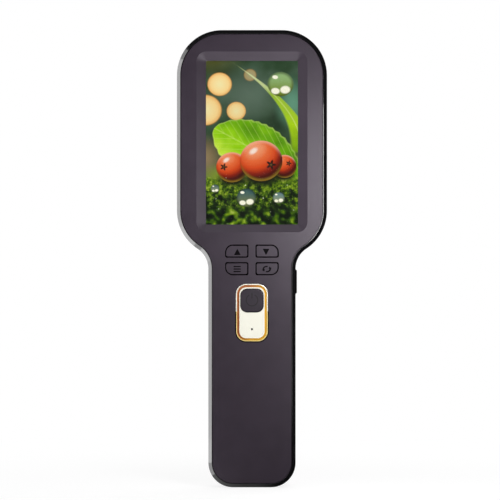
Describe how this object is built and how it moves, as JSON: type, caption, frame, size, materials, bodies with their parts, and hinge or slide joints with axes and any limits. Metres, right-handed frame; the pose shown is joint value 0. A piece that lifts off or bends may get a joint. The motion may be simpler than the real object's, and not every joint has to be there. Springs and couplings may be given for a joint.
{
  "type": "handheld digital microscope",
  "caption": "Paddle-shaped handheld digital microscope: upright screen and keys on the front, lens with turning focus ring, lamp ring and clear contact hood behind the head.",
  "frame": {"origin": "middle of the flat end of the handle, half-way through the body's thickness", "axes": "+Z along the body from the handle's flat end to the head; +Y from the screen side to the lens side; +X to the right as the screen is read"},
  "size_m": [0.0812, 0.0489, 0.2474],
  "materials": {
    "front_cover": "soft-touch satin, fine moulded grain",
    "frame_gloss": "high gloss black",
    "rear_cover": "matte, fine moulded grain",
    "screw_steel": "blackened or plain steel",
    "window_clear": "clear hard-coated",
    "gasket_foam": "black foam",
    "screen_picture": "lit picture",
    "backlight": "white plastic",
    "sheet_steel": "bright tinned steel",
    "ribbon": "amber film",
    "key_plastic": "satin with printed symbols",
    "plunger": "black",
    "switch_body": "black",
    "power_button": "satin with a printed symbol",
    "trim_gold": "polished gold-coloured plating",
    "light_pipe": "clear",
    "lamp_yellow": "phosphor",
    "board_green": "solder mask",
    "board_white": "white solder mask",
    "chip_black": "moulded",
    "connector": "ivory",
    "cell_wrap": "shrink wrap over a steel can",
    "leads": "insulated",
    "optical_glass": "coated",
    "lens_black": "black",
    "focus_grip": "fluted grip",
    "washer": "plain",
    "hood_clear": "clear moulded plastic"
  },
  "bodies": {
    "housing": {"front_cover": "front_cover", "middle_frame": "frame_gloss", "rear_cover": "rear_cover", "rear_screws": "screw_steel", "screen_window": "window_clear", "window_gasket": "gasket_foam", "lcd_panel": "screen_picture", "backlight_unit": "backlight", "lcd_bracket": "sheet_steel", "bracket_screws": "screw_steel", "lcd_flex": "ribbon", "key_switches": "switch_body", "power_switch": "switch_body", "capsule_trim": "trim_gold", "indicator_light_pipe": "light_pipe", "indicator_led": "lamp_yellow", "side_switch": "switch_body", "main_board": "board_green", "board_screws": "screw_steel", "board_chips": "chip_black", "usb_port": "sheet_steel", "card_socket": "sheet_steel", "lcd_connector": "connector", "camera_connector": "connector", "battery_connector": "connector", "battery_cell": "cell_wrap", "battery_pad": "gasket_foam", "battery_leads": "leads", "camera_board": "board_green", "camera_screws": "screw_steel", "image_sensor": "chip_black", "sensor_filter": "optical_glass", "camera_flex": "ribbon", "lens_mount": "lens_black", "mount_screws": "screw_steel", "focus_washer": "washer", "nose_plate": "lens_black", "led_board": "board_white", "lamp_leds": "lamp_yellow", "led_flex": "ribbon", "contact_hood": "hood_clear"},
    "up_key": {"key_up": "key_plastic", "key_up_plunger": "plunger"},
    "down_key": {"key_down": "key_plastic", "key_down_plunger": "plunger"},
    "menu_key": {"key_menu": "key_plastic", "key_menu_plunger": "plunger"},
    "rotate_key": {"key_rotate": "key_plastic", "key_rotate_plunger": "plunger"},
    "power_key": {"power_button": "power_button", "power_plunger": "plunger"},
    "edge_key": {"side_key": "key_plastic", "side_plunger": "plunger"},
    "focus": {"focus_ring": "focus_grip"},
    "barrel": {"lens_barrel": "lens_black", "barrel_pins": "screw_steel", "rear_lens": "optical_glass", "front_lens": "optical_glass", "lens_retainer": "lens_black"}
  },
  "joints": [
    {"name": "up_press", "type": "slide", "parent": "housing", "child": "up_key", "axis": [0, 1, 0], "range_m": [0, 0.00035], "stiffness_N_per_m": 900},
    {"name": "down_press", "type": "slide", "parent": "housing", "child": "down_key", "axis": [0, 1, 0], "range_m": [0, 0.00035], "stiffness_N_per_m": 900},
    {"name": "menu_press", "type": "slide", "parent": "housing", "child": "menu_key", "axis": [0, 1, 0], "range_m": [0, 0.00035], "stiffness_N_per_m": 900},
    {"name": "rotate_press", "type": "slide", "parent": "housing", "child": "rotate_key", "axis": [0, 1, 0], "range_m": [0, 0.00035], "stiffness_N_per_m": 900},
    {"name": "power_press", "type": "slide", "parent": "housing", "child": "power_key", "axis": [0, 1, 0], "range_m": [0, 0.0005], "stiffness_N_per_m": 900},
    {"name": "edge_press", "type": "slide", "parent": "housing", "child": "edge_key", "axis": [-1, 0, 0], "range_m": [0, 0.0004], "stiffness_N_per_m": 900},
    {"name": "focus_turn", "type": "hinge", "parent": "housing", "child": "focus", "pos_m": [0, 0.01235, 0.1865], "axis": [0, 1, 0], "range_deg": [0, 160]},
    {"name": "focus_slide", "type": "slide", "parent": "housing", "child": "barrel", "axis": [0, 1, 0], "range_m": [0, 0.004]}
  ],
  "couplings": [
    {"joint": "focus_slide", "follows": "focus_turn", "m_per_rad": 0.0014324}
  ]
}
